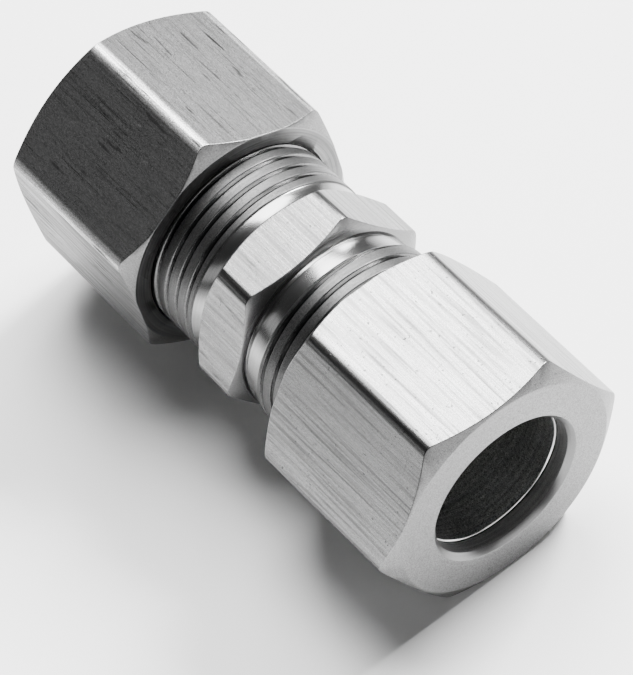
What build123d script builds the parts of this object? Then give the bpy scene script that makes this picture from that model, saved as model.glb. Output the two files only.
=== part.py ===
from build123d import *
import os
from math import atan, cos, degrees, radians, tan

os.makedirs("parts", exist_ok=True)

# Straight compression coupling for two tubes, in millimetres.
# The tube axis is X, the front end points to +X and +Z is up.
# The origin is the middle of the body, on the axis.
# Lengths along the axis are measured outward from that middle, the same at both ends.

# Tube that the coupling joins, and the room that each bore leaves around it
tube_diameter = 12.7
socket_clearance = 0.08
ferrule_clearance = 0.03
nut_hole_clearance = 0.20

# Thread of the body and of both nuts, right-hand, 20 turns to the inch
thread_pitch = 1.27
thread_depth = 0.42
thread_flank_angle = 30.0
thread_clearance = 0.08
thread_overlap = 0.20
thread_end_chamfer = 0.60
runout_turns = 0.5

# Body
body_wall = 1.88
body_half_length = 14.2
hex_length = 5.3
hex_end_face_inset = 0.28
hex_front_chamfer_angle = 26.0
hex_rear_chamfer_angle = 35.0
hex_corner_round = 1.1
front_neck_length = 1.9
rear_neck_length = 1.0
front_neck_inset = 0.30
rear_neck_inset = 0.12
undercut_width = 0.50
undercut_depth = 0.30
seat_depth = 2.2
seat_angle = 26.0
tube_stop_width = 3.0
tube_stop_height = 1.0

# Nuts
nut_length = 15.9
nut_wall = 1.51
nut_corner_round = 1.1
nut_end_wall = 1.6
nut_mouth_chamfer = 0.46
nut_seat_angle = 45.0
nut_thread_length = 6.8
nut_relief_inset = 0.07
nut_entry_chamfer = 0.44
nut_front_face_inset = 0.22
nut_front_chamfer_angle = 29.0
nut_back_face_outset = 0.10
nut_back_chamfer_angle = 35.0

# Ferrules
ferrule_wall = 0.87
ferrule_outer_lip = 0.27
ferrule_nose_lip = 0.22
ferrule_edge_round = 0.10
ferrule_gap = 0.05

# How the nuts stand in the photograph: thread left showing, and the turns left to tighten
exposed_length = 5.95
turns_to_tighten = 1.25

# Turn of each piece about the axis, from +Z towards -Y. A hexagon at 0 has a flat on top,
# and a thread's first full groove starts there.
front_nut_turn = 0.0
rear_nut_turn = 36.0
body_hex_turn = 9.6
front_thread_turn = 38.0
rear_thread_turn = 89.0

# Radii, from the tube outward
socket_radius = tube_diameter / 2 + socket_clearance
ferrule_bore = tube_diameter / 2 + ferrule_clearance
nut_hole = tube_diameter / 2 + nut_hole_clearance
ferrule_radius = ferrule_bore + ferrule_wall
stop_radius = socket_radius - tube_stop_height
thread_root = socket_radius + body_wall
thread_radius = thread_root + thread_depth
nut_thread_root = thread_radius + thread_clearance
nut_relief = nut_thread_root + nut_relief_inset
nut_apothem = nut_thread_root + nut_wall
hex_apothem = thread_radius
hex_end_face = hex_apothem - hex_end_face_inset
front_neck_radius = thread_radius - front_neck_inset
rear_neck_radius = thread_radius - rear_neck_inset

# Places along the axis, outward from the middle
hex_face = hex_length / 2
seat_bottom = body_half_length - seat_depth
nut_back = hex_face + exposed_length
nut_front = nut_back + nut_length
nut_shoulder = nut_front - nut_end_wall

# Width of the thread's ridge at its crest, and of the nut's groove that it runs in
flank_slope = tan(radians(thread_flank_angle))
ridge_crest = thread_pitch - 2 * thread_depth * flank_slope
nut_groove_floor = ridge_crest + 2 * thread_clearance * (1 - flank_slope)
nut_thread_crest = thread_radius - thread_overlap


def turned(points):
    """Solid of revolution about Z from a closed outline of (radius, height) points."""
    outline = Polyline([(r, 0, z) for r, z in points], close=True)
    return revolve(make_face(outline), Axis.Z)


def hexagonal_bar(apothem, corner_round, low, high):
    """Bar with six flats and rounded corners, from height low to high."""
    section = RegularPolygon(apothem, 6, major_radius=False, rotation=30)
    section = fillet(section.vertices(), corner_round)
    return extrude(section, high - low).moved(Location((0, 0, low)))


def chamfered_ends(apothem, low, high, low_face, low_angle, high_face, high_angle):
    """Turned envelope that cuts the corners of a hexagonal bar back at both ends."""
    reach = apothem * 1.2
    low_drop = (reach - low_face) * tan(radians(low_angle))
    high_drop = (reach - high_face) * tan(radians(high_angle))
    return turned([
        (0, low),
        (low_face, low),
        (reach, low + low_drop),
        (reach, high - high_drop),
        (high_face, high),
        (0, high),
    ])


def groove_section(inner, outer, floor, height):
    """Outline of a groove, floor wide at the radius inner and opening towards outer."""
    spread = floor / 2 + abs(outer - inner) * flank_slope
    points = [(inner, 0, height - floor / 2), (outer, 0, height - spread)]
    points += [(outer, 0, height + spread)]
    if floor > 0:
        points += [(inner, 0, height + floor / 2)]
    return make_face(Polyline(points, close=True)).face()


def groove_cutter(start, end, inner, outer, floor):
    """Groove on a right-hand helix about Z, starting at +X."""
    path = Helix(pitch=thread_pitch, height=end - start, radius=inner, center=(0, 0, start))
    section = groove_section(inner, outer, floor, start)
    return Solid.sweep(section, path=path, is_frenet=True)


def groove_start(neck_length):
    """Height of the middle of the body's groove, where it reaches its full depth."""
    return hex_face + neck_length + thread_pitch / 2


def runout_cutter(neck_length):
    """The last part of the body's groove, which rises out of the metal beside the neck."""
    start = groove_start(neck_length)
    drop = thread_pitch * runout_turns
    rise = thread_depth + thread_clearance
    path = Helix(pitch=thread_pitch, height=drop, radius=thread_root,
                 center=(0, 0, start), direction=(0, 0, -1),
                 cone_angle=degrees(atan(rise / drop)))
    side = -1 if (path @ 0).X < 0 else 1
    section = groove_section(side * thread_root, side * (thread_radius + rise), 0, start)
    cutter = Solid.sweep(section, path=path, is_frenet=True)
    return cutter if side > 0 else cutter.rotate(Axis.Z, 180)


def threaded_end(neck_radius, neck_length):
    """One end of the body about Z: neck, thread with its runout, and chamfered tip."""
    spare = 2 * thread_pitch
    thread_start = hex_face + neck_length
    blank = turned([
        (0, 0),
        (neck_radius, 0),
        (neck_radius, thread_start),
        (thread_radius, thread_start + thread_radius - neck_radius),
        (thread_radius, body_half_length + spare),
        (0, body_half_length + spare),
    ])
    groove = groove_cutter(groove_start(neck_length), body_half_length + spare / 2,
                           thread_root, thread_radius + thread_depth / 2, 0)
    end = blank - groove - runout_cutter(neck_length)
    beyond = thread_radius + thread_depth
    tip = thread_radius - thread_end_chamfer
    waste = turned([
        (0, body_half_length),
        (tip, body_half_length),
        (beyond, body_half_length - (beyond - tip)),
        (beyond, body_half_length + spare * 2),
        (0, body_half_length + spare * 2),
    ])
    return end - waste


def undercut():
    """Narrow groove round the front neck, against the face of the hexagon."""
    floor = front_neck_radius - undercut_depth
    return turned([
        (floor, hex_face),
        (thread_radius, hex_face),
        (thread_radius, hex_face + undercut_width),
        (floor, hex_face + undercut_width),
    ])


def socket_space():
    """Space in one end of the body: conical seat, tube socket and bore past the tube stop."""
    beyond = body_half_length + seat_depth
    return turned([
        (0, 0),
        (stop_radius, 0),
        (stop_radius, tube_stop_width / 2),
        (socket_radius, tube_stop_width / 2),
        (socket_radius, seat_bottom),
        (socket_radius + (beyond - seat_bottom) * tan(radians(seat_angle)), beyond),
        (0, beyond),
    ])


def make_body():
    """Body along Z: the hexagon, two threaded ends and the bore right through."""
    hexagon = hexagonal_bar(hex_apothem, hex_corner_round, -hex_face, hex_face)
    hexagon = hexagon & chamfered_ends(hex_apothem, -hex_face, hex_face, hex_end_face,
                                       hex_rear_chamfer_angle, hex_end_face,
                                       hex_front_chamfer_angle)
    hexagon = hexagon.rotate(Axis.Z, body_hex_turn)
    front = threaded_end(front_neck_radius, front_neck_length) - undercut()
    front = front.rotate(Axis.Z, front_thread_turn)
    rear = threaded_end(rear_neck_radius, rear_neck_length).rotate(Axis.X, 180)
    rear = rear.rotate(Axis.Z, rear_thread_turn)
    space = socket_space()
    return hexagon + front + rear - space - space.rotate(Axis.X, 180)


def nut_space():
    """Space in a nut: entry, thread bore, relief, conical shoulder, hole and mouth."""
    entry = nut_thread_crest + nut_entry_chamfer
    shoulder_run = (nut_relief - nut_hole) / tan(radians(nut_seat_angle))
    mouth = nut_hole + nut_mouth_chamfer
    return turned([
        (0, nut_back - nut_entry_chamfer),
        (entry + nut_entry_chamfer, nut_back - nut_entry_chamfer),
        (nut_thread_crest, nut_back + nut_entry_chamfer),
        (nut_thread_crest, nut_back + nut_thread_length),
        (nut_relief, nut_back + nut_thread_length),
        (nut_relief, nut_shoulder - shoulder_run),
        (nut_hole, nut_shoulder),
        (nut_hole, nut_front - nut_mouth_chamfer),
        (mouth + nut_mouth_chamfer, nut_front + nut_mouth_chamfer),
        (0, nut_front + nut_mouth_chamfer),
    ])


def nut_groove(neck_length):
    """Groove of a nut's thread, in step with the ridge of the body's thread."""
    first = groove_start(neck_length) + thread_pitch / 2
    start = first + (int((nut_back - first) / thread_pitch) - 1) * thread_pitch
    end = nut_back + nut_thread_length + thread_pitch * 0.7
    inner_reach = nut_thread_crest - thread_depth / 2
    return groove_cutter(start, end, nut_thread_root, inner_reach, nut_groove_floor)


def make_nut(hex_turn, thread_turn, neck_length):
    """Nut along Z at its place. It is bored and threaded long, then cut to its length."""
    spare = 2.5 * thread_pitch
    bar = hexagonal_bar(nut_apothem, nut_corner_round, nut_back - spare, nut_front)
    bore = Cylinder(nut_thread_crest, nut_thread_length + 3 * spare)
    bore = bore.moved(Location((0, 0, nut_back + nut_thread_length / 2 - spare / 2)))
    groove = nut_groove(neck_length).rotate(Axis.Z, thread_turn)
    threaded = bar.rotate(Axis.Z, hex_turn) - bore - groove
    envelope = chamfered_ends(nut_apothem, nut_back, nut_front,
                              nut_apothem + nut_back_face_outset, nut_back_chamfer_angle,
                              nut_apothem - nut_front_face_inset, nut_front_chamfer_angle)
    return (threaded - nut_space()) & envelope


def make_ferrule():
    """Ferrule along Z: a short sleeve with a long nose cone inward and a shoulder outward."""
    gap = ferrule_gap
    nose = ferrule_bore + ferrule_nose_lip
    lip = ferrule_bore + ferrule_outer_lip
    nose_tan = tan(radians(seat_angle))
    shoulder_tan = tan(radians(nut_seat_angle))
    made_up = seat_bottom + (nose + gap / cos(radians(seat_angle)) - socket_radius) / nose_tan
    low = made_up + turns_to_tighten * thread_pitch
    high = nut_shoulder - (lip + gap / cos(radians(nut_seat_angle)) - nut_hole) / shoulder_tan
    return turned([
        (ferrule_bore, low),
        (nose, low),
        (ferrule_radius, low + (ferrule_radius - nose) / nose_tan),
        (ferrule_radius, high - (ferrule_radius - lip) / shoulder_tan),
        (lip, high),
        (ferrule_bore + ferrule_edge_round, high),
        (ferrule_bore, high - ferrule_edge_round),
    ])


def to_front(piece):
    """Lay a piece made along Z on the axis, pointing to +X, its own X side up."""
    return piece.rotate(Axis.Y, 90).rotate(Axis.X, 180)


def to_rear(piece):
    """The same for the rear end, pointing to -X."""
    return piece.rotate(Axis.Y, -90)


pieces = {
    "coupling_body": to_front(make_body()),
    "front_nut": to_front(make_nut(front_nut_turn, front_thread_turn, front_neck_length)),
    "rear_nut": to_rear(make_nut(-rear_nut_turn, -rear_thread_turn, rear_neck_length)),
    "front_ferrule": to_front(make_ferrule()),
    "rear_ferrule": to_rear(make_ferrule()),
}

for name, piece in pieces.items():
    solids = piece.solids()
    print(name, len(solids), "solid, volume", round(sum(s.volume for s in solids), 1))
    export_step(piece, f"parts/{name}.step")
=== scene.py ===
"""Looks of a compression tube coupler.

Each of its five pieces is made again as a fine closed mesh at its place in the CAD frame, with
its threads from a Geometry Nodes tree and its metal from shader nodes. Lengths are millimetres
in the classes here, and metres in the objects that they make. The tube axis is X. Angles about
it run from +Z towards -Y, and each end's pieces are described outward from the middle.
"""

import logging
import math
from collections.abc import Callable, Iterable, Sequence
from dataclasses import dataclass, field, fields
from enum import Enum, IntEnum

import bpy
import numpy as np
from mathutils import Matrix, Vector


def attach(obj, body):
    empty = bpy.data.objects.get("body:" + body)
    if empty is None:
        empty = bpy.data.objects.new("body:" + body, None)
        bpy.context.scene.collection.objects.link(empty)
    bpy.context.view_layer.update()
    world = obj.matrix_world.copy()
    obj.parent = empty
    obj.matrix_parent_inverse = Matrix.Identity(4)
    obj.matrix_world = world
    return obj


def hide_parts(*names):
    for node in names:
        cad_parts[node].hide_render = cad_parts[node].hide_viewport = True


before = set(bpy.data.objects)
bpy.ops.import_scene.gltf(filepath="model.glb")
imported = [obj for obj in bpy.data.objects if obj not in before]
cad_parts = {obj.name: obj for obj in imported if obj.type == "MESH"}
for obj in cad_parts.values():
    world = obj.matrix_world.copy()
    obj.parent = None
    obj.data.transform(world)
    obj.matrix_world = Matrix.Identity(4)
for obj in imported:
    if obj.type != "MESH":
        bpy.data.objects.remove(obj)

MM = 0.001
TURN = 2 * math.pi
SECTOR = TURN / 6
COLUMNS = 192
PITCH = 1.27
MERGE_DISTANCE = 1e-6
SPARE_TURNS = 1
SPARE_ROWS = 3
GROOVE_ATTRIBUTE = "groove"
THREADED_ATTRIBUTE = "threaded"
THREAD_UNITS = {"groove_angle": 1 / 360, "side": 1.0, "flank_slope": 1.0, "rows_per_turn": 1.0,
                "columns": 1.0}

Profile = float | Callable[[np.ndarray], np.ndarray]
log = logging.getLogger("coupler")


class End(Enum):
    """The two ends of the coupler, each with the half turn about Z that lays its pieces."""

    FRONT = 0.0
    REAR = math.pi

    def lay(self, points: np.ndarray) -> np.ndarray:
        """Turns points that are given outward from the middle to this end."""
        return points if self is End.FRONT else points * np.array([-1.0, -1.0, 1.0])

    def label(self) -> str:
        """The end's name as the pieces' names have it."""
        return self.name.lower()


class Working(Enum):
    """How a surface was worked, which says which way its fine lines run."""

    DRAWN = "along the axis"
    TURNED = "round the axis"


class Slot(IntEnum):
    """Order of a piece's own finishes."""

    SIDES = 0
    FACES = 1
    BACK = 2
    NECK = 3
    BORE = 4
    THREAD = 5


class Field:
    """A value in a node tree. Python's operators on it make Math nodes."""

    def __init__(self, graph: "Graph", socket: bpy.types.NodeSocket) -> None:
        """Wraps one output socket of a graph."""
        self.graph = graph
        self.socket = socket

    def __add__(self, other: "Value") -> "Field":
        """Sum."""
        return self.graph.math("ADD", self, other)

    def __sub__(self, other: "Value") -> "Field":
        """Difference."""
        return self.graph.math("SUBTRACT", self, other)

    def __rsub__(self, other: "Value") -> "Field":
        """Difference from a plain number."""
        return self.graph.math("SUBTRACT", other, self)

    def __mul__(self, other: "Value") -> "Field":
        """Product."""
        return self.graph.math("MULTIPLY", self, other)

    def __truediv__(self, other: "Value") -> "Field":
        """Quotient."""
        return self.graph.math("DIVIDE", self, other)

    def __gt__(self, other: "Value") -> "Field":
        """1 where this is greater, 0 elsewhere."""
        return self.graph.math("GREATER_THAN", self, other)

    def at_least(self, other: "Value") -> "Field":
        """The greater of the two."""
        return self.graph.math("MAXIMUM", self, other)

    def at_most(self, other: "Value") -> "Field":
        """The lesser of the two."""
        return self.graph.math("MINIMUM", self, other)

    def apply(self, operation: str) -> "Field":
        """A Math node of one value, such as FLOOR or SINE."""
        return self.graph.math(operation, self)

    def mix(self, low: "Value", high: "Value") -> "Field":
        """Runs from low to high as this runs from 0 to 1."""
        return low + self * (high - low)

    def above(self, level: float, edge: float) -> "Field":
        """0 below the level and 1 above it, with a soft edge."""
        return ((self - level) / edge).at_least(0.0).at_most(1.0)

    __radd__ = __add__
    __rmul__ = __mul__


Value = Field | float


class Graph:
    """Short calls that fill a node tree."""

    def __init__(self, tree: bpy.types.NodeTree) -> None:
        """Takes the tree to fill."""
        self.tree = tree

    def node(self, kind: str, **settings: object) -> bpy.types.Node:
        """Adds a node.

        Args:
            kind: the node's type name.
            settings: its properties.

        Returns:
            The new node.
        """
        made = self.tree.nodes.new(kind)
        for name, value in settings.items():
            setattr(made, name, value)
        return made

    def put(self, socket: bpy.types.NodeSocket, value: object) -> None:
        """Gives an input socket its value.

        Args:
            socket: the input.
            value: a field or an output socket, which is linked, or a plain value.
        """
        if isinstance(value, Field):
            value = value.socket
        if isinstance(value, bpy.types.NodeSocket):
            self.tree.links.new(value, socket)
        else:
            socket.default_value = value

    def call(self, kind: str, inputs: dict, output: int | str = 0, **settings: object) -> Field:
        """Adds a node, fills its inputs and returns one output.

        Args:
            kind: the node's type name.
            inputs: values by input name or number.
            output: name or number of the output wanted.
            settings: the node's properties.

        Returns:
            That output as a field.
        """
        made = self.node(kind, **settings)
        for name, value in inputs.items():
            self.put(made.inputs[name], value)
        return Field(self, made.outputs[output])

    def math(self, operation: str, *values: Value) -> Field:
        """A Math node of any operation."""
        return self.call("ShaderNodeMath", dict(enumerate(values)), operation=operation)

    def vector(self, x: Value, y: Value, z: Value) -> Field:
        """Three values as one vector."""
        return self.call("ShaderNodeCombineXYZ", {0: x, 1: y, 2: z})

    def end_in_grey(self, tone: Value, inputs: dict) -> None:
        """Ends a shader tree in a grey surface.

        Args:
            tone: how light the surface is.
            inputs: the other inputs of its shader, by name.
        """
        colour = self.call("ShaderNodeCombineColor", {0: tone, 1: tone, 2: tone})
        shader = self.call("ShaderNodeBsdfPrincipled", {"Base Color": colour, **inputs})
        self.put(self.node("ShaderNodeOutputMaterial").inputs["Surface"], shader)


def empty_material(name: str) -> tuple[bpy.types.Material, Graph]:
    """Makes a node material with nothing in its tree.

    Args:
        name: the material's name.

    Returns:
        The material, and the graph that fills its tree.
    """
    made = bpy.data.materials.new(name)
    made.use_nodes = True
    made.node_tree.nodes.clear()
    return made, Graph(made.node_tree)


def plain_angles() -> np.ndarray:
    """Evenly spaced angles of a ring."""
    return np.arange(COLUMNS) * TURN / COLUMNS


@dataclass(frozen=True)
class Hexagon:
    """A regular hexagon with rounded corners, as the section of a drawn bar."""

    apothem: float
    corner_round: float
    turn: float
    flat_steps: int = 21
    corner_steps: int = 11

    def flat_half_angle(self) -> float:
        """Angle from the middle of a flat to where its corner's rounding starts."""
        run = (self.apothem - self.corner_round) * math.tan(SECTOR / 2)
        return math.atan(run / self.apothem)

    def angles(self) -> np.ndarray:
        """Places the section's samples, close together on the corners.

        Returns:
            As many angles as a plain ring has, each near the plain one of the same number.
        """
        half = self.flat_half_angle()
        flat = np.linspace(-half, half, self.flat_steps, endpoint=False)
        corner = np.linspace(half, SECTOR - half, self.corner_steps, endpoint=False)
        one = np.concatenate([flat, corner]) + math.radians(self.turn)
        found = np.sort(np.concatenate([one + k * SECTOR for k in range(6)]) % TURN)
        shift = int(round(float(np.mean(found - plain_angles())) / (TURN / COLUMNS)))
        wide = np.concatenate([found - TURN, found, found + TURN])
        return wide[COLUMNS - shift:2 * COLUMNS - shift]

    def radius(self, angles: np.ndarray) -> np.ndarray:
        """Gives the distance of the section from the axis.

        Args:
            angles: the angles to measure it at.

        Returns:
            The distance at each of them.
        """
        local = (angles - math.radians(self.turn) + SECTOR / 2) % SECTOR - SECTOR / 2
        centre = (self.apothem - self.corner_round) / math.cos(SECTOR / 2)
        away = SECTOR / 2 - np.abs(local)
        inside = np.maximum(self.corner_round ** 2 - (centre * np.sin(away)) ** 2, 0)
        rounded = centre * np.cos(away) + np.sqrt(inside)
        flat = self.apothem / np.cos(local)
        return np.where(np.abs(local) <= self.flat_half_angle(), flat, rounded)


@dataclass(frozen=True)
class Corner:
    """One corner of an outline that is swept round the axis, and the strip that follows it."""

    along: Profile
    radius: Profile
    finish: Slot
    soft: float = 0.05
    fitted: bool = False

    def at(self, angles: np.ndarray) -> np.ndarray:
        """Place along the axis and radius of the corner at each angle."""
        pair = [value(angles) if callable(value) else np.full(angles.shape, value)
                for value in (self.along, self.radius)]
        return np.stack(pair, axis=1)


@dataclass(frozen=True)
class ChamferedEnd:
    """An end of a hexagonal bar whose corners are cut back by turning."""

    hexagon: Hexagon
    face: float
    face_radius: float
    angle: float
    outward: float
    edge: float = 0.05

    def reach(self, angles: np.ndarray) -> np.ndarray:
        """Radius where the end face stops, a fine edge short of the flats."""
        return np.minimum(self.hexagon.radius(angles) - self.edge, self.face_radius)

    def edge_along(self, angles: np.ndarray) -> np.ndarray:
        """Place along the axis where the cut meets the hexagon's sides."""
        rise = (self.hexagon.radius(angles) - self.face_radius) * math.tan(math.radians(self.angle))
        return self.face - self.outward * np.maximum(rise, self.edge)


def softened(before: np.ndarray, here: np.ndarray, after: np.ndarray,
             size: float) -> list[np.ndarray]:
    """Makes three rings in place of one sharp corner.

    Args:
        before: the corner before, at the same angles.
        here: the corner.
        after: the corner after.
        size: how far the rounding reaches along each side.

    Returns:
        The rings, in order.
    """
    back, ahead = before - here, after - here
    back_length = np.linalg.norm(back, axis=1, keepdims=True)
    ahead_length = np.linalg.norm(ahead, axis=1, keepdims=True)
    most, tiny = 0.45, 1e-9
    reach = np.minimum(size, most * np.minimum(back_length, ahead_length))
    first = here + back / np.maximum(back_length, tiny) * reach
    third = here + ahead / np.maximum(ahead_length, tiny) * reach
    return [first, (first + 2 * here + third) / 4, third]


@dataclass
class MeshParts:
    """Vertices, faces and finish numbers that are collected for one mesh."""

    points: list[np.ndarray] = field(default_factory=list)
    faces: list[np.ndarray] = field(default_factory=list)
    finishes: list[np.ndarray] = field(default_factory=list)
    count: int = 0

    def sweep(self, corners: Sequence[Corner], fitted: np.ndarray, closed: bool = False) -> None:
        """Adds the surface that an outline leaves as it goes round the axis.

        Args:
            corners: the outline, the metal on its right as it runs outward along the top.
            fitted: the angles for the corners that follow a hexagon.
            closed: whether the last corner joins the first.
        """
        rings, angles, finishes = [], [], []
        last = len(corners) - 1
        for number, corner in enumerate(corners):
            ring_angles = fitted if corner.fitted else plain_angles()
            here = corner.at(ring_angles)
            if not closed and number in (0, last):
                made = [here]
            else:
                before = corners[number - 1].at(ring_angles)
                after = corners[(number + 1) % len(corners)].at(ring_angles)
                made = softened(before, here, after, corner.soft)
            rings += made
            angles += [ring_angles] * len(made)
            finishes += [corners[number - 1].finish] * (len(made) > 1)
            finishes += [corner.finish] * (len(made) - (len(made) > 1))
        self.join(np.stack(rings), np.stack(angles), finishes, closed)

    def join(self, rings: np.ndarray, angles: np.ndarray, finishes: list[Slot],
             closed: bool) -> None:
        """Adds the vertices of rings and the faces between them.

        Args:
            rings: place along the axis and radius of each vertex, ring by ring.
            angles: its angle.
            finishes: the finish of the faces that follow each ring.
            closed: whether faces join the last ring to the first.
        """
        along, radius = rings[..., 0], rings[..., 1]
        points = np.stack([along, -radius * np.sin(angles), radius * np.cos(angles)], axis=-1)
        number = np.arange(points.shape[0] * COLUMNS).reshape(-1, COLUMNS) + self.count
        upper = np.roll(number, -1, axis=0) if closed else number[1:]
        lower = number if closed else number[:-1]
        faces = np.stack([lower, np.roll(lower, -1, axis=1), np.roll(upper, -1, axis=1), upper], -1)
        self.points.append(points.reshape(-1, 3))
        self.faces.append(faces.reshape(-1, 4))
        self.finishes.append(np.repeat(finishes[:lower.shape[0]], COLUMNS))
        self.count += points.shape[0] * COLUMNS

    def mesh(self, name: str, end: End) -> bpy.types.Mesh:
        """Makes the collected surface as a mesh, in metres.

        Args:
            name: the mesh's name.
            end: the end that it is laid to.

        Returns:
            The mesh.
        """
        made = bpy.data.meshes.new(name)
        points = end.lay(np.concatenate(self.points)) * MM
        made.from_pydata(points.tolist(), [], np.concatenate(self.faces).tolist())
        made.polygons.foreach_set("material_index", np.concatenate(self.finishes).astype(np.int32))
        made.polygons.foreach_set("use_smooth", [True] * len(made.polygons))
        return made


def input_name(size: str) -> str:
    """The name that a thread's size has as an input of the tree."""
    return size.replace("_", " ").capitalize()


@dataclass(frozen=True)
class Thread:
    """One threaded stretch, described outward from the middle of the coupler.

    Side is 1 for a thread on the outside of a piece and -1 for one in its bore. Runout is how
    much the groove rises in each turn before it starts in full.
    """

    crest_radius: float
    depth: float
    start: float
    end: float
    groove_at: float
    groove_angle: float
    end_wall: float
    floor_width: float = 0.0
    start_chamfer: float = 0.0
    end_chamfer: float = 0.0
    side: float = 1.0
    pitch: float = PITCH
    flank_slope: float = math.tan(math.radians(30.0))
    runout: float = 1.0
    fade: float = 0.12
    rows_per_turn: float = 26.0
    columns: float = float(COLUMNS)

    def values(self) -> dict[str, float]:
        """The tree's inputs by name, in metres and turns."""
        return {input_name(size.name): getattr(self, size.name) * THREAD_UNITS.get(size.name, MM)
                for size in fields(self)}


class ThreadTree:
    """The Geometry Nodes tree that adds one threaded stretch to a piece.

    Its rows run along the helix, so each edge of the thread follows one row. The rows are held
    back at both ends of the stretch, where they meet the piece's own rings and are merged.
    """

    def __init__(self) -> None:
        """Builds the tree."""
        self.tree = bpy.data.node_groups.new("Threaded stretch", "GeometryNodeTree")
        self.graph = Graph(self.tree)
        face = self.tree.interface
        face.new_socket("Geometry", in_out="INPUT", socket_type="NodeSocketGeometry")
        for name in (*(input_name(size.name) for size in fields(Thread)), "Half turn"):
            face.new_socket(name, in_out="INPUT", socket_type="NodeSocketFloat")
        face.new_socket("Material", in_out="INPUT", socket_type="NodeSocketMaterial")
        face.new_socket("Geometry", in_out="OUTPUT", socket_type="NodeSocketGeometry")
        given = self.graph.node("NodeGroupInput").outputs
        self.given = {socket.name: Field(self.graph, socket) for socket in given if socket.name}
        self.finish(self.surface())

    def rows(self) -> tuple[Field, ...]:
        """Places the grid's vertices.

        They begin a spare turn before the stretch and end some spare rows after it, so that
        every column reaches both ends. The very last row makes the wall at the end.

        Returns:
            Number of rows, place along the axis, part of a turn, turns from the groove's middle,
            and 1 on the last row.
        """
        given = self.given
        index = self.graph.call("GeometryNodeInputIndex", {})
        across = given["Columns"] + 1
        row = (index / across).apply("FLOOR")
        turn = (index - row * across) / given["Columns"]
        origin = given["Groove at"] - given["Pitch"] * given["Groove angle"]
        first = ((given["Start"] - origin) / given["Pitch"]).apply("FLOOR") - SPARE_TURNS
        span = (given["End"] - origin) / given["Pitch"] - first
        count = (span * given["Rows per turn"]).apply("CEIL") + SPARE_ROWS
        free = origin + given["Pitch"] * (first + (row - 1) / given["Rows per turn"] + turn)
        along = free.at_least(given["Start"]).at_most(given["End"])
        phase = (along - origin) / given["Pitch"] - turn
        return count, along, turn, phase, row + 1.5 > count

    def cut(self, along: Field, turn: Field, phase: Field) -> Field:
        """Works out how deep the surface lies under the thread's crest.

        Args:
            along: place along the axis.
            turn: part of a turn.
            phase: turns from the groove's middle.

        Returns:
            The depth.
        """
        given = self.given
        nearest = phase.apply("ROUND")
        away = (phase - nearest).apply("ABSOLUTE") * given["Pitch"]
        turns_in = (nearest + turn - given["Groove angle"]).at_most(0.0)
        deepest = given["Depth"] + turns_in * given["Runout"]
        flank = deepest + (given["Floor width"] * 0.5 - away) / given["Flank slope"]
        groove = flank.at_most(deepest).at_least(0.0)
        grown = ((along - given["Start"]) / given["Fade"]).at_most(1.0)
        entry = given["Start chamfer"] - (along - given["Start"])
        leaving = given["End chamfer"] - (given["End"] - along)
        return (groove * grown).at_least(entry).at_least(leaving)

    def surface(self) -> Field:
        """Makes the threaded stretch as a grid bent to its place.

        Returns:
            Its geometry.
        """
        graph, given = self.graph, self.given
        count, along, turn, phase, last = self.rows()
        cut = last.mix(self.cut(along, turn, phase), given["End wall"])
        radius = given["Crest radius"] - given["Side"] * cut
        angle = turn * TURN
        place = graph.vector(along, angle.apply("SINE") * radius * -1.0,
                             angle.apply("COSINE") * radius)
        grid = graph.call("GeometryNodeMeshGrid",
                          {"Vertices X": count, "Vertices Y": given["Columns"] + 1})
        marked = graph.call("GeometryNodeStoreNamedAttribute",
                            {"Geometry": grid, "Name": GROOVE_ATTRIBUTE,
                             "Value": cut / given["Depth"]}, data_type="FLOAT", domain="POINT")
        marked = graph.call("GeometryNodeStoreNamedAttribute",
                            {"Geometry": marked, "Name": THREADED_ATTRIBUTE, "Value": 1.0},
                            data_type="FLOAT", domain="FACE")
        bent = graph.call("GeometryNodeSetPosition", {"Geometry": marked, "Position": place})
        facing = graph.call("GeometryNodeFlipFaces",
                            {"Mesh": bent, "Selection": given["Side"] > 0.0})
        spin = graph.vector(0.0, 0.0, given["Half turn"])
        return graph.call("GeometryNodeTransform", {"Geometry": facing, "Rotation": spin})

    def finish(self, stretch: Field) -> None:
        """Joins the stretch to the piece, gives it its metal and ends the tree.

        Args:
            stretch: the geometry of the threaded stretch.
        """
        graph, given = self.graph, self.given
        both = graph.node("GeometryNodeJoinGeometry")
        for part in (given["Geometry"], stretch):
            graph.put(both.inputs[0], part)
        whole = graph.call("GeometryNodeMergeByDistance",
                           {"Geometry": both.outputs[0], "Distance": MERGE_DISTANCE})
        smooth = graph.call("GeometryNodeSetShadeSmooth", {"Geometry": whole})
        real = graph.call("GeometryNodeRealizeInstances", {"Geometry": smooth})
        threaded = graph.call("GeometryNodeInputNamedAttribute", {"Name": THREADED_ATTRIBUTE},
                              data_type="FLOAT")
        painted = graph.call("GeometryNodeSetMaterial",
                             {"Geometry": real, "Selection": threaded > 0.5,
                              "Material": given["Material"]})
        graph.put(graph.node("NodeGroupOutput").inputs[0], painted)

    def add(self, piece: bpy.types.Object, thread: Thread, end: End,
            metal: bpy.types.Material) -> None:
        """Gives a piece one threaded stretch.

        Args:
            piece: the object to add it to.
            thread: the stretch.
            end: the end of the coupler that it belongs to.
            metal: its material.
        """
        modifier = piece.modifiers.new("Thread", "NODES")
        values = {**thread.values(), "Half turn": end.value, "Material": metal}
        names = {item.name: item.identifier for item in self.tree.interface.items_tree
                 if item.in_out == "INPUT"}
        modifier.node_group = self.tree
        for name, value in values.items():
            modifier[names[name]] = value


@dataclass(frozen=True)
class Mark:
    """What one kind of mark adds to a metal's tone, as a share of it, roughness and height."""

    tone: float
    roughness: float = 0.0
    height: float = 0.0


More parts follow.
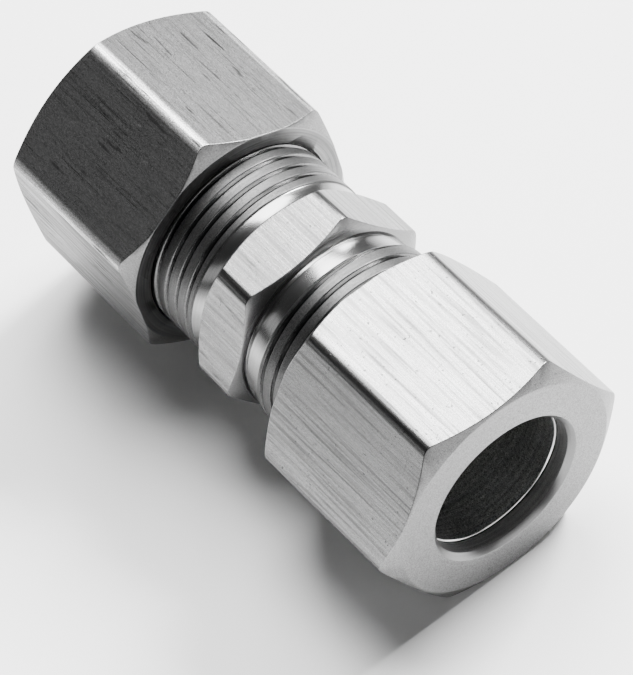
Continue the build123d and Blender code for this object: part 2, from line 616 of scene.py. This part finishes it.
LINE = Mark(tone=1.5, roughness=-0.5, height=0.006)
GRAIN = Mark(tone=2.4, height=0.004)
STREAK = Mark(tone=-0.75, roughness=0.15)
STAIN = Mark(tone=-0.8, roughness=0.2)
PIT = Mark(tone=-0.7, height=-0.006)
SCRATCH = Mark(tone=1.2, height=-0.004)
# painted shade on a hexagon's rounded corners, or a painted highlight where its strength is below 0
PAINTED_CORNER_LIGHT = Mark(tone=-1.0)
LIGHTEST = 0.95
SMOOTHEST = 0.05
ROUGHEST = 0.9
MEAN_RADIUS = 9.0


@dataclass
class Surface:
    """A metal's tone, roughness and height while its marks are added."""

    tone: Value
    rough: Value
    height: Value = 0.0

    def add(self, mark: Mark, strength: float, where: Field) -> None:
        """Adds one kind of mark.

        Args:
            mark: what it does.
            strength: how much of that it does on this metal.
            where: how much of it there is at each place.
        """
        self.tone = self.tone * (1.0 + where * (mark.tone * strength))
        if mark.roughness:
            self.rough = self.rough + where * (mark.roughness * strength)
        if mark.height:
            self.height = self.height + where * (mark.height * strength)


@dataclass(frozen=True)
class Metal:
    """A bare metal surface with the marks of its working and its use.

    Tone is how light it is. Lines, streaks, stains, pits, scratches and grain are the strengths
    of its marks. Groove_tone and groove_roughness are for a thread's grooves. Its corner value
    paints shade on the rounded corners of a hexagon that is turned by hex_turn, or paints a
    highlight on them where it is below 0.
    """

    name: str
    working: Working
    tone: float
    roughness: float
    lines: float = 0.3
    streaks: float = 0.0
    stains: float = 0.0
    pits: float = 0.0
    scratches: float = 0.0
    grain: float = 0.2
    line_scale: float = 6.0
    groove_tone: float = 0.0
    groove_roughness: float = 0.2
    painted_corner_light: float = 0.0
    hex_turn: float = 0.0
    seed: float = 0.0


class MetalTree:
    """Fills the node tree of one metal."""

    def __init__(self, metal: Metal) -> None:
        """Starts the metal's material, with the point in millimetres ready.

        Args:
            metal: the metal.
        """
        self.metal = metal
        self.material, self.graph = empty_material(metal.name)
        split = self.graph.node("ShaderNodeSeparateXYZ")
        self.graph.put(split.inputs[0], self.graph.node("ShaderNodeTexCoord").outputs["Object"])
        self.point = [Field(self.graph, socket) * (1 / MM) for socket in split.outputs]

    def fill(self) -> bpy.types.Material:
        """Fills the tree.

        Returns:
            The finished material.
        """
        surface = self.marked()
        if self.metal.groove_tone:
            self.shade_grooves(surface)
        bump = self.graph.call("ShaderNodeBump", {"Height": surface.height, "Distance": MM,
                                                  "Strength": 1.0}, "Normal")
        self.graph.end_in_grey(surface.tone, {"Metallic": 1.0, "Roughness": surface.rough,
                                              "Normal": bump})
        return self.material

    def marked(self) -> Surface:
        """Adds all the marks that the metal has.

        Returns:
            The surface with its marks.
        """
        metal = self.metal
        surface = Surface(metal.tone, metal.roughness)
        for mark, strength, pattern in (
                (LINE, metal.lines, self.fine_lines),
                (GRAIN, metal.grain, self.fine_grain),
                (STREAK, metal.streaks, self.broad_streaks),
                (STAIN, metal.stains, self.ragged_stains),
                (PIT, metal.pits, self.small_pits),
                (SCRATCH, metal.scratches, self.crossed_scratches),
                # the hexagon's corners get painted shade, or a painted highlight
                (PAINTED_CORNER_LIGHT, metal.painted_corner_light, self.hexagon_corners)):
            if strength:
                surface.add(mark, strength, pattern())
        surface.tone = surface.tone.at_most(LIGHTEST)
        surface.rough = surface.rough.at_least(SMOOTHEST).at_most(ROUGHEST)
        return surface

    def shade_grooves(self, surface: Surface) -> None:
        """Gives a thread's grooves their own tone and roughness, with painted shade deep in them.

        Args:
            surface: the surface to change.
        """
        depth = self.graph.call("ShaderNodeAttribute", {}, "Fac", attribute_name=GROOVE_ATTRIBUTE)
        inside = depth.above(level=0.0, edge=0.2)
        # painted shade: the tone drops by up to 0.8 deep in the groove
        root_painted_shade = 1.0 - depth.above(level=0.60, edge=0.25) * 0.8
        groove = surface.tone * root_painted_shade * (self.metal.groove_tone / self.metal.tone)
        surface.tone = inside.mix(surface.tone, groove)
        surface.rough = inside.mix(surface.rough, self.metal.groove_roughness)

    def fine_lines(self) -> Field:
        """Fine lines of the working, above and below 0."""
        return self.noise(self.worked(stretch=0.02), self.metal.line_scale, detail=3.0) - 0.5

    def fine_grain(self) -> Field:
        """Fine grain, above and below 0."""
        return self.noise(self.graph.vector(*self.point), scale=13.0, detail=2.0) - 0.5

    def broad_streaks(self) -> Field:
        """Long streaks of the working."""
        broad = self.noise(self.worked(stretch=0.03), scale=3.0, detail=5.0)
        return broad.above(level=0.50, edge=0.16)

    def ragged_stains(self) -> Field:
        """Ragged stains, longer the way the surface was worked."""
        ragged = self.noise(self.worked(stretch=0.14), scale=1.5, detail=9.0)
        return ragged.above(level=0.60, edge=0.05)

    def small_pits(self) -> Field:
        """Sparse small pits."""
        spots = self.noise(self.graph.vector(*self.point), scale=3.6, detail=1.0)
        return spots.above(level=0.70, edge=0.03)

    def crossed_scratches(self) -> Field:
        """Thin scratches at two slants to the axis."""
        return self.hairlines(slant=0.12) + self.hairlines(slant=-0.25)

    def hexagon_corners(self) -> Field:
        """Finds the rounded corners of the hexagon, for painted shade or a painted highlight.

        Returns:
            1 on the corners and 0 on the flats.
        """
        _, y, z = self.point
        angle = self.graph.math("ARCTAN2", y * -1.0, z)
        sectors = angle * (1 / SECTOR) - self.metal.hex_turn / 60 + 0.5
        away = (sectors - sectors.apply("FLOOR") - 0.5).apply("ABSOLUTE")
        return away.above(level=0.445, edge=0.015)

    def worked(self, stretch: float) -> Field:
        """Stretches coordinates the way the surface was worked.

        Args:
            stretch: how fast they run that way, next to 1 across it.

        Returns:
            The coordinates as a vector.
        """
        x, y, z = self.point
        if self.metal.working is Working.DRAWN:
            return self.graph.vector(x * stretch, y, z)
        out = (y * y + z * z).apply("SQRT")
        angle = self.graph.math("ARCTAN2", y, z)
        return self.graph.vector(x, out, angle * (MEAN_RADIUS * stretch))

    def hairlines(self, slant: float) -> Field:
        """Draws thin sparse scratches.

        Args:
            slant: how much they turn from the axis.

        Returns:
            1 in the middle of a scratch and 0 beside it.
        """
        x, y, z = self.point
        along = self.graph.vector(x * 0.04, y + x * slant, z + x * slant)
        contour = (self.noise(along, scale=1.6, detail=1.0) - 0.5).apply("ABSOLUTE")
        line = (1.0 - contour * 150.0).at_least(0.0)
        patches = self.noise(self.graph.vector(*self.point), scale=0.5, detail=1.0)
        return line * patches.above(level=0.52, edge=0.05)

    def noise(self, place: Field, scale: float, detail: float) -> Field:
        """Makes smooth noise with the metal's own seed.

        Args:
            place: the coordinates to read it at.
            scale: how fine it is.
            detail: how many finer layers it has.

        Returns:
            The noise, from 0 to 1.
        """
        inputs = {"Vector": place, "W": self.metal.seed, "Scale": scale, "Detail": detail}
        return self.graph.call("ShaderNodeTexNoise", inputs, "Fac", noise_dimensions="4D")


@dataclass(frozen=True)
class Finishes:
    """The metals of one piece, one for each kind of surface that it has."""

    sides: Metal
    faces: Metal
    back: Metal
    neck: Metal
    bore: Metal
    thread: Metal

    def materials(self) -> list[bpy.types.Material]:
        """The materials, in the order of Slot."""
        return [MetalTree(getattr(self, slot.name.lower())).fill() for slot in Slot]


@dataclass(frozen=True)
class Piece:
    """A piece of the coupler: its CAD node, the body it rides on and its material slot."""

    node: str
    body: str
    slot: str

    def place(self, parts: MeshParts, end: End, finishes: Finishes,
              threads: Iterable[tuple[Thread, End]], tree: ThreadTree) -> bpy.types.Object:
        """Makes the object, adds its threads, bakes it and puts it in the frame.

        Args:
            parts: its plain surfaces.
            end: the end of the coupler that they are laid to.
            finishes: its metals.
            threads: each threaded stretch with its end.
            tree: the tree that makes them.

        Returns:
            The finished object.
        """
        piece = bpy.data.objects.new(f"{self.node}_fine", parts.mesh(self.node, end))
        bpy.context.scene.collection.objects.link(piece)
        metals = finishes.materials()
        for metal in metals:
            piece.data.materials.append(metal)
        for thread, thread_end in threads:
            tree.add(piece, thread, thread_end, metals[Slot.THREAD])
        piece.modifiers.new("Even shading", "WEIGHTED_NORMAL")
        bpy.context.view_layer.update()
        evaluated = piece.evaluated_get(bpy.context.evaluated_depsgraph_get())
        baked = bpy.data.meshes.new_from_object(evaluated)
        piece.modifiers.clear()
        piece.data = baked
        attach(piece, self.body)
        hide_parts(self.node)
        return piece


@dataclass(frozen=True)
class CouplingBody:
    """The turned and threaded body with its short hexagon."""

    half_length: float = 14.2
    hex_face: float = 2.65
    apothem: float = 8.73
    corner_round: float = 1.1
    hex_turn: float = 9.6
    face_radius: float = 8.45
    front_angle: float = 26.0
    rear_angle: float = 35.0
    front_neck: float = 8.43
    rear_neck: float = 8.61
    front_thread_start: float = 4.55
    rear_thread_start: float = 3.65
    front_groove_angle: float = 38.0
    rear_groove_angle: float = -89.0
    undercut_width: float = 0.50
    undercut_depth: float = 0.30
    thread_depth: float = 0.42
    tip_chamfer: float = 0.60
    socket: float = 6.43
    seat_radius: float = 7.503
    seat_bottom: float = 12.0
    stop_radius: float = 5.43
    stop_half_width: float = 1.5

    def groove(self, end: End) -> tuple[float, float]:
        """Says where a thread's groove starts.

        Args:
            end: the thread's end.

        Returns:
            Its place along the axis and its angle in degrees.
        """
        if end is End.FRONT:
            return self.front_thread_start + PITCH / 2, self.front_groove_angle
        return self.rear_thread_start + PITCH / 2, self.rear_groove_angle

    def outside(self, hexagon: Hexagon) -> list[Corner]:
        """Draws the outline from the rear thread over the hexagon to the front thread.

        Args:
            hexagon: the section of the bar.

        Returns:
            The outline.
        """
        rear = ChamferedEnd(hexagon, -self.hex_face, self.face_radius, self.rear_angle, -1.0)
        front = ChamferedEnd(hexagon, self.hex_face, self.face_radius, self.front_angle, 1.0)
        meet = math.tan(math.radians(self.rear_angle)) * (self.rear_neck - self.face_radius)
        floor = self.front_neck - self.undercut_depth
        groove_end = self.hex_face + self.undercut_width
        rear_rise = self.apothem - self.rear_neck
        front_rise = self.apothem - self.front_neck
        return [
            Corner(-self.rear_thread_start - rear_rise, self.apothem, Slot.THREAD),
            Corner(-self.rear_thread_start, self.rear_neck, Slot.NECK),
            Corner(meet - self.hex_face, self.rear_neck, Slot.FACES, soft=0.03),
            Corner(rear.edge_along, hexagon.radius, Slot.SIDES, soft=0.07, fitted=True),
            Corner(front.edge_along, hexagon.radius, Slot.FACES, soft=0.07, fitted=True),
            Corner(self.hex_face, self.face_radius, Slot.FACES, soft=0.03),
            Corner(self.hex_face, floor, Slot.NECK, soft=0.03),
            Corner(groove_end, floor, Slot.NECK, soft=0.03),
            Corner(groove_end, self.front_neck, Slot.NECK, soft=0.06),
            Corner(self.front_thread_start, self.front_neck, Slot.THREAD),
            Corner(self.front_thread_start + front_rise, self.apothem, Slot.THREAD),
        ]

    def inside(self) -> list[Corner]:
        """Draws the outline from the front tip through the bore to the rear tip.

        Returns:
            The outline.
        """
        half = [
            (self.half_length, self.apothem - self.tip_chamfer),
            (self.half_length, self.seat_radius),
            (self.seat_bottom, self.socket),
            (self.stop_half_width, self.socket),
            (self.stop_half_width, self.stop_radius),
        ]
        whole = half + [(-along, radius) for along, radius in reversed(half)]
        finishes = [Slot.FACES] + [Slot.BORE] * 7 + [Slot.FACES] * 2
        return [Corner(along, radius, finish) for (along, radius), finish in zip(whole, finishes)]

    def threads(self) -> list[tuple[Thread, End]]:
        """Describes both threaded stretches.

        Returns:
            Each with its end.
        """
        starts = {End.FRONT: self.front_thread_start + self.apothem - self.front_neck,
                  End.REAR: self.rear_thread_start + self.apothem - self.rear_neck}
        return [(Thread(self.apothem, self.thread_depth, start, self.half_length,
                        *self.groove(end), end_wall=self.tip_chamfer,
                        end_chamfer=self.tip_chamfer), end)
                for end, start in starts.items()]

    def finishes(self) -> Finishes:
        """Describes the body's metals.

        Returns:
            The metals.
        """
        drawn, turned = Working.DRAWN, Working.TURNED
        faces = Metal("body_faces", turned, tone=0.19, roughness=0.28, lines=0.15, pits=0.3,
                      grain=0.45, seed=32.0)
        return Finishes(
            # the body's hexagon corners get painted shade
            sides=Metal("body_flats", drawn, tone=0.20, roughness=0.27, lines=0.8, streaks=0.6,
                        stains=0.5, pits=0.8, scratches=0.1, grain=0.9, painted_corner_light=0.4,
                        hex_turn=self.hex_turn, seed=31.0),
            faces=faces,
            back=faces,
            neck=Metal("body_necks", turned, tone=0.27, roughness=0.21, lines=0.3, grain=0.15,
                       seed=33.0),
            bore=Metal("body_bore", turned, tone=0.20, roughness=0.40, lines=0.60, seed=34.0),
            thread=Metal("body_threads", turned, tone=0.075, roughness=0.40, lines=0.5,
                         stains=0.4, pits=0.6, grain=1.2, groove_tone=0.17, seed=35.0),
        )

    def build(self, tree: ThreadTree) -> bpy.types.Object:
        """Makes the body's object.

        Args:
            tree: the tree that makes threads.

        Returns:
            The object.
        """
        hexagon = Hexagon(self.apothem, self.corner_round, self.hex_turn)
        parts = MeshParts()
        for outline in (self.outside(hexagon), self.inside()):
            parts.sweep(outline, hexagon.angles())
        piece = Piece("coupling_body", "body", "body_metal")
        return piece.place(parts, End.FRONT, self.finishes(), self.threads(), tree)


@dataclass(frozen=True)
class Nut:
    """A hexagonal nut with its tube hole, shoulder and thread.

    Its thread follows the body's groove, which starts at body_groove and groove_angle.
    """

    end: End
    body_groove: float
    groove_angle: float
    hex_turn: float
    seed: float
    back: float = 8.6
    front: float = 24.5
    apothem: float = 10.32
    corner_round: float = 1.1
    front_face_radius: float = 10.10
    front_angle: float = 29.0
    back_face_radius: float = 10.42
    back_angle: float = 35.0
    hole: float = 6.55
    mouth_chamfer: float = 0.46
    shoulder: float = 22.9
    relief: float = 8.88
    thread_crest: float = 8.53
    thread_depth: float = 0.28
    thread_length: float = 6.8
    floor_width: float = 0.853
    entry_chamfer: float = 0.44
    turns_before: int = 6

    def outline(self, hexagon: Hexagon) -> list[Corner]:
        """Draws the outline from the entry over the outside and back to the thread's end.

        Args:
            hexagon: the section of the bar.

        Returns:
            The outline.
        """
        back = ChamferedEnd(hexagon, self.back, self.back_face_radius, self.back_angle, -1.0)
        front = ChamferedEnd(hexagon, self.front, self.front_face_radius, self.front_angle, 1.0)
        run = self.relief - self.hole
        thread_end = self.back + self.thread_length
        return [
            Corner(self.back, self.thread_crest + self.entry_chamfer, Slot.BACK),
            Corner(self.back, back.reach, Slot.FACES, fitted=True),
            Corner(back.edge_along, hexagon.radius, Slot.SIDES, soft=0.07, fitted=True),
            Corner(front.edge_along, hexagon.radius, Slot.FACES, soft=0.07, fitted=True),
            Corner(self.front, self.front_face_radius, Slot.FACES, soft=0.07, fitted=True),
            Corner(self.front, self.hole + self.mouth_chamfer, Slot.NECK, soft=0.04),
            Corner(self.front - self.mouth_chamfer, self.hole, Slot.BORE, soft=0.04),
            Corner(self.shoulder, self.hole, Slot.BORE, soft=0.04),
            Corner(self.shoulder - run, self.relief, Slot.BORE),
            Corner(thread_end, self.relief, Slot.BORE),
        ]

    def thread(self) -> Thread:
        """Describes the nut's thread, whose groove takes the body's ridge.

        Returns:
            The thread, with a groove that starts some turns before the nut.
        """
        groove_at = self.body_groove + PITCH / 2 - self.turns_before * PITCH
        return Thread(self.thread_crest, self.thread_depth, self.back,
                      self.back + self.thread_length, groove_at, self.groove_angle,
                      end_wall=self.relief - self.thread_crest, floor_width=self.floor_width,
                      start_chamfer=self.entry_chamfer, side=-1.0, rows_per_turn=14.0)

    def flats(self) -> Metal:
        """Describes the metal of the flats; the rear nut's are darker and more worn.

        Returns:
            The metal.
        """
        if self.end is End.FRONT:
            # the front nut's hexagon corners get painted shade
            return Metal("front_nut_flats", Working.DRAWN, tone=0.22, roughness=0.27, lines=0.45,
                         streaks=0.65, stains=0.1, pits=0.9, scratches=0.1, grain=1.0,
                         painted_corner_light=0.4, hex_turn=self.hex_turn, seed=self.seed)
        # the rear nut's hexagon corners get a painted highlight
        return Metal("rear_nut_flats", Working.DRAWN, tone=0.12, roughness=0.43, lines=1.8,
                     streaks=0.1, stains=0.9, pits=0.3, scratches=0.3, grain=1.6,
                     painted_corner_light=-1.8, hex_turn=-self.hex_turn, seed=self.seed)

    def finishes(self) -> Finishes:
        """Describes the nut's metals.

        Returns:
            The metals.
        """
        name, turned, seed = f"{self.end.label()}_nut", Working.TURNED, self.seed
        return Finishes(
            sides=self.flats(),
            faces=Metal(f"{name}_faces", turned, tone=0.19, roughness=0.32, lines=0.2, pits=0.5,
                        grain=0.9, seed=seed + 1),
            back=Metal(f"{name}_back", turned, tone=0.17, roughness=0.38, lines=1.0, pits=0.3,
                       seed=seed + 2),
            neck=Metal(f"{name}_mouth", turned, tone=0.19, roughness=0.30, lines=0.25,
                       seed=seed + 3),
            bore=Metal(f"{name}_bore", turned, tone=0.34, roughness=0.50, lines=0.80, grain=0.6,
                       seed=seed + 4),
            thread=Metal(f"{name}_thread", turned, tone=0.25, roughness=0.40, lines=0.30,
                         seed=seed + 5),
        )

    def build(self, tree: ThreadTree) -> bpy.types.Object:
        """Makes the nut's object.

        Args:
            tree: the tree that makes threads.

        Returns:
            The object.
        """
        hexagon = Hexagon(self.apothem, self.corner_round, self.hex_turn)
        parts = MeshParts()
        parts.sweep(self.outline(hexagon), hexagon.angles())
        name = f"{self.end.label()}_nut"
        piece = Piece(name, name, "nut_metal")
        return piece.place(parts, self.end, self.finishes(), [(self.thread(), self.end)], tree)


@dataclass(frozen=True)
class Ferrule:
    """A sleeve with a long nose cone and a short shoulder."""

    end: End
    seed: float
    nose_end: float = 14.050
    outer_end: float = 22.729
    bore: float = 6.38
    radius: float = 7.25
    nose_lip: float = 0.22
    outer_lip: float = 0.27
    edge_round: float = 0.10
    nose_angle: float = 26.0

    def outline(self) -> list[Corner]:
        """Draws the closed outline from the nose over the outside and through the bore.

        Returns:
            The outline.
        """
        nose = self.bore + self.nose_lip
        lip = self.bore + self.outer_lip
        cone = (self.radius - nose) / math.tan(math.radians(self.nose_angle))
        return [
            Corner(self.nose_end, self.bore, Slot.FACES, soft=0.03),
            Corner(self.nose_end, nose, Slot.FACES, soft=0.03),
            Corner(self.nose_end + cone, self.radius, Slot.FACES),
            Corner(self.outer_end - (self.radius - lip), self.radius, Slot.FACES),
            Corner(self.outer_end, lip, Slot.FACES, soft=0.04),
            Corner(self.outer_end, self.bore + self.edge_round, Slot.NECK, soft=0.04),
            Corner(self.outer_end - self.edge_round, self.bore, Slot.BORE, soft=0.04),
        ]

    def finishes(self) -> Finishes:
        """Describes the ferrule's metals, all bright and turned but for its bore, which is rougher
        and has painted shade.

        Returns:
            The metals.
        """
        bright = Metal("ferrule_turned", Working.TURNED, tone=0.55, roughness=0.18, lines=0.2,
                       seed=self.seed)
        # the bore is rougher, and its darker tone is painted shade inside the sleeve
        rough_bore_painted_shade = Metal("ferrule_bore", Working.TURNED, tone=0.36, roughness=0.45, lines=1.0,
                     grain=1.6, line_scale=3.5, seed=self.seed + 0.5)
        return Finishes(bright, bright, bright, bright, rough_bore_painted_shade, bright)

    def build(self, tree: ThreadTree) -> bpy.types.Object:
        """Makes the ferrule's object.

        Args:
            tree: the tree that makes threads, of which it has none.

        Returns:
            The object.
        """
        parts = MeshParts()
        parts.sweep(self.outline(), plain_angles(), closed=True)
        name = f"{self.end.label()}_ferrule"
        return Piece(name, name, "ferrule_metal").place(parts, self.end, self.finishes(), [], tree)


@dataclass(frozen=True)
class Panel:
    """A soft light that faces the coupler from some way off."""

    name: str
    direction: tuple[float, float, float]
    distance: float
    width: float
    height: float
    power: float

    def build(self) -> None:
        """Makes the light."""
        data = bpy.data.lights.new(self.name, "AREA")
        data.shape = "RECTANGLE"
        data.size, data.size_y = self.width, self.height
        data.energy = self.power
        light = bpy.data.objects.new(self.name, data)
        towards = Vector(self.direction).normalized()
        light.location = towards * self.distance
        light.rotation_euler = towards.to_track_quat("Z", "Y").to_euler()
        light.visible_camera = False
        bpy.context.scene.collection.objects.link(light)


@dataclass(frozen=True)
class Studio:
    """Floor, lights, surroundings and camera."""

    floor_size: float = 3.0
    floor_front: tuple[float, float] = (24.38, -10.32)
    floor_rear: tuple[float, float] = (-9.45, -11.69)
    floor_tone: float = 0.88
    # The next two values paint light on the floor: its share of tone far out, and the radius of its
    # bright middle.
    painted_falloff_share: float = 0.35
    bright_radius: float = 0.06
    surround: float = 0.05
    lens: float = 241.49
    sensor: float = 36.0
    camera_at: tuple[float, float, float] = (184.807, -106.031, 286.808)
    camera_right: tuple[float, float, float] = (0.62001, 0.77690, -0.10962)
    camera_down: tuple[float, float, float] = (0.59553, -0.55695, -0.57893)
    panels: tuple[Panel, ...] = (
        Panel("overhead_softbox", (-0.45, 0.30, 0.84), 0.70, 0.40, 0.60, 16.0),
        Panel("back_softbox", (-0.10, 0.76, 0.64), 0.75, 0.26, 0.26, 26.0),
        Panel("low_card", (-0.51, -0.82, 0.26), 0.60, 0.60, 0.16, 0.30),
        Panel("front_card", (0.95, 0.15, 0.20), 0.60, 0.50, 0.34, 1.3),
    )

    def floor(self) -> None:
        """Makes the plane that both nuts rest on, tilted as the rear nut stands on a corner."""
        (front_x, front_z), (rear_x, rear_z) = self.floor_front, self.floor_rear
        slope = (front_z - rear_z) / (front_x - rear_x)
        half = self.floor_size / 2
        height = front_z * MM - slope * front_x * MM
        corners = [(x, y, height + slope * x) for x, y in
                   ((-half, -half), (half, -half), (half, half), (-half, half))]
        mesh = bpy.data.meshes.new("floor")
        mesh.from_pydata(corners, [], [(0, 1, 2, 3)])
        floor = bpy.data.objects.new("floor", mesh)
        bpy.context.scene.collection.objects.link(floor)
        mesh.materials.append(self.paper())

    def paper(self) -> bpy.types.Material:
        """Makes pale paper with painted light: bright near the middle and darker further out.

        Returns:
            The material.
        """
        made, graph = empty_material("paper")
        where = graph.node("ShaderNodeTexCoord").outputs["Object"]
        away = graph.call("ShaderNodeVectorMath", {0: where}, "Value", operation="LENGTH")
        # painted light: bright near the coupler and darker further out, which also darkens what the
        # metal mirrors
        painted_falloff = away.above(level=self.bright_radius, edge=self.bright_radius)
        tone = painted_falloff.mix(self.floor_tone, self.floor_tone * self.painted_falloff_share)
        graph.end_in_grey(tone, {"Roughness": 0.9, "Specular IOR Level": 0.1})
        return made

    def surroundings(self) -> None:
        """An even grey round the scene, which the metal mirrors between the lights."""
        world = bpy.data.worlds.new("surroundings")
        world.use_nodes = True
        tone = self.surround
        world.node_tree.nodes["Background"].inputs["Color"].default_value = (tone, tone, tone, 1)
        bpy.context.scene.world = world

    def camera(self) -> None:
        """Makes the camera, fitted to the photograph."""
        data = bpy.data.cameras.new("camera")
        data.sensor_fit = "AUTO"
        data.sensor_width = self.sensor
        data.lens = self.lens
        data.clip_start, data.clip_end = 0.01, 10.0
        camera = bpy.data.objects.new("camera", data)
        right, down = Vector(self.camera_right), Vector(self.camera_down)
        axes = Matrix((right, -down, down.cross(right))).transposed()
        camera.matrix_world = Matrix.Translation(Vector(self.camera_at) * MM) @ axes.to_4x4()
        bpy.context.scene.collection.objects.link(camera)
        bpy.context.scene.camera = camera

    def build(self) -> None:
        """Sets up everything round the coupler."""
        self.floor()
        self.surroundings()
        for panel in self.panels:
            panel.build()
        self.camera()


def main() -> None:
    """Builds the pieces in order, then the studio round them."""
    logging.basicConfig(level=logging.INFO, format="%(name)s: %(message)s")
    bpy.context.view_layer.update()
    tree = ThreadTree()
    body = CouplingBody()
    parts = [
        body,
        Nut(End.FRONT, *body.groove(End.FRONT), hex_turn=0.0, seed=11.0),
        Nut(End.REAR, *body.groove(End.REAR), hex_turn=-36.0, seed=27.3),
        Ferrule(End.FRONT, seed=41.0),
        Ferrule(End.REAR, seed=42.0),
    ]
    for part in parts:
        piece = part.build(tree)
        log.info("%s: %d faces", piece.name, len(piece.data.polygons))
    Studio().build()


if __name__ == "__main__":
    main()
